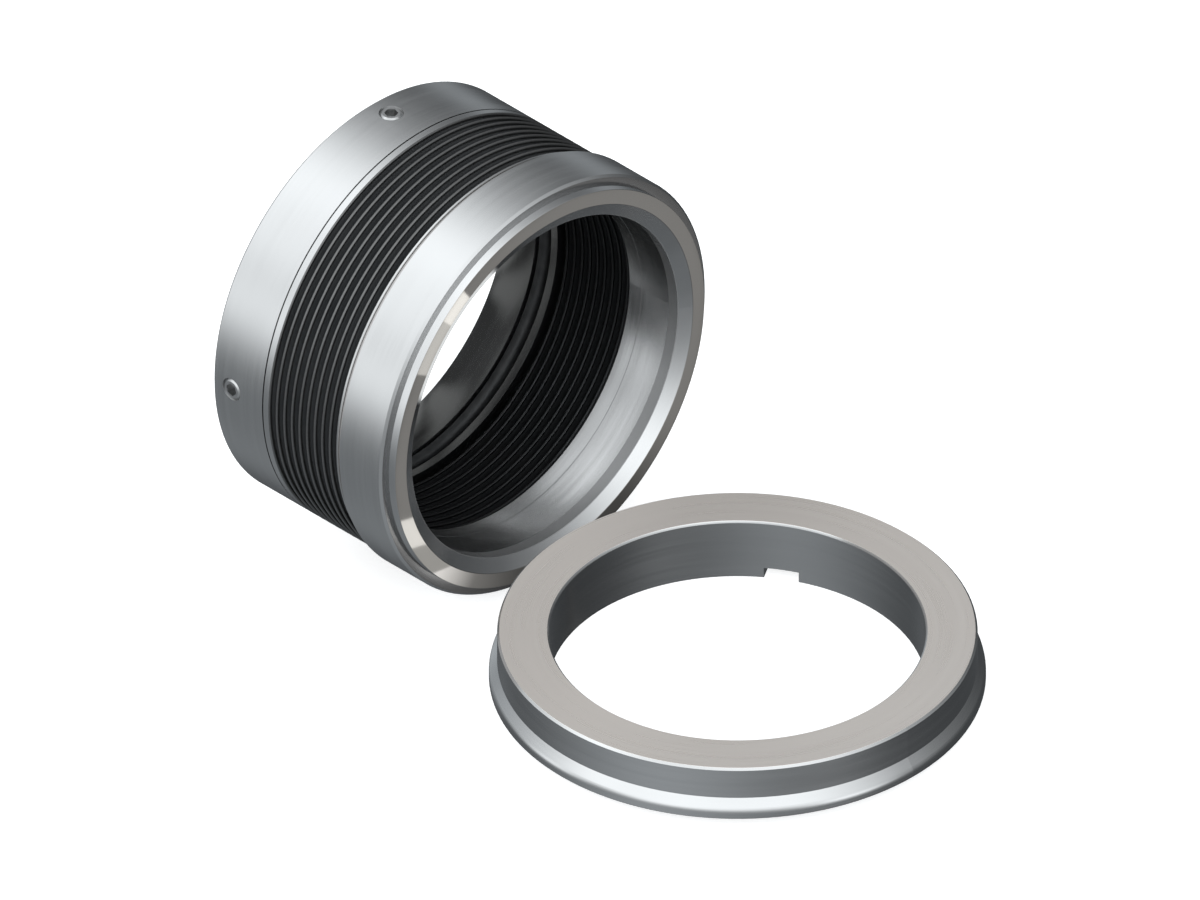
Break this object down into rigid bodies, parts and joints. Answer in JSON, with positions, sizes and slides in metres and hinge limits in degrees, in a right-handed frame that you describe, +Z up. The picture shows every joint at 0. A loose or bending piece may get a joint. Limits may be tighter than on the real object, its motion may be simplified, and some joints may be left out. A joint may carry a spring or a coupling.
{
  "type": "welded metal bellows component mechanical seal",
  "caption": "Component mechanical seal for a rotating shaft: clamped head with edge-welded metal bellows and sprung running face, with its flanged stationary seat lying beside it.",
  "frame": {"origin": "centre of the drive collar's bore at the drive end of the rotating head", "axes": "+X along the rotating head's shaft axis, from the drive end to the running face; +Z up; the seat lies in front of the head with its own axis along Z"},
  "size_m": [0.1228, 0.0798, 0.074],
  "materials": {
    "satin_steel": "satin",
    "screw_steel": "satin",
    "leaf_alloy": "satin",
    "seal_rubber": "matte",
    "lapped_face": "gloss",
    "seat_steel": "satin"
  },
  "bodies": {
    "drive_end": {"drive_collar": "satin_steel", "set_screws": "screw_steel", "shaft_o_ring": "seal_rubber", "bellows_end_ring": "satin_steel", "bellows_leaf_01": "leaf_alloy", "bellows_leaf_02": "leaf_alloy", "bellows_leaf_03": "leaf_alloy", "bellows_leaf_04": "leaf_alloy", "bellows_leaf_05": "leaf_alloy", "bellows_leaf_06": "leaf_alloy", "bellows_leaf_07": "leaf_alloy", "bellows_leaf_08": "leaf_alloy", "bellows_leaf_09": "leaf_alloy", "bellows_leaf_10": "leaf_alloy", "bellows_leaf_11": "leaf_alloy", "bellows_leaf_12": "leaf_alloy", "bellows_leaf_13": "leaf_alloy", "bellows_leaf_14": "leaf_alloy", "bellows_leaf_15": "leaf_alloy", "bellows_leaf_16": "leaf_alloy", "bellows_leaf_17": "leaf_alloy", "bellows_leaf_18": "leaf_alloy", "stationary_seat": "seat_steel"},
    "face_carrier": {"face_holder": "satin_steel", "rotating_face": "lapped_face"}
  },
  "joints": [
    {"name": "bellows_compression", "type": "slide", "parent": "drive_end", "child": "face_carrier", "axis": [1, 0, 0], "range_m": [-0.0025, 0], "stiffness_N_per_m": 20000, "deforming": ["bellows_leaf_01", "bellows_leaf_02", "bellows_leaf_03", "bellows_leaf_04", "bellows_leaf_05", "bellows_leaf_06", "bellows_leaf_07", "bellows_leaf_08", "bellows_leaf_09", "bellows_leaf_10", "bellows_leaf_11", "bellows_leaf_12", "bellows_leaf_13", "bellows_leaf_14", "bellows_leaf_15", "bellows_leaf_16", "bellows_leaf_17", "bellows_leaf_18"]}
  ]
}
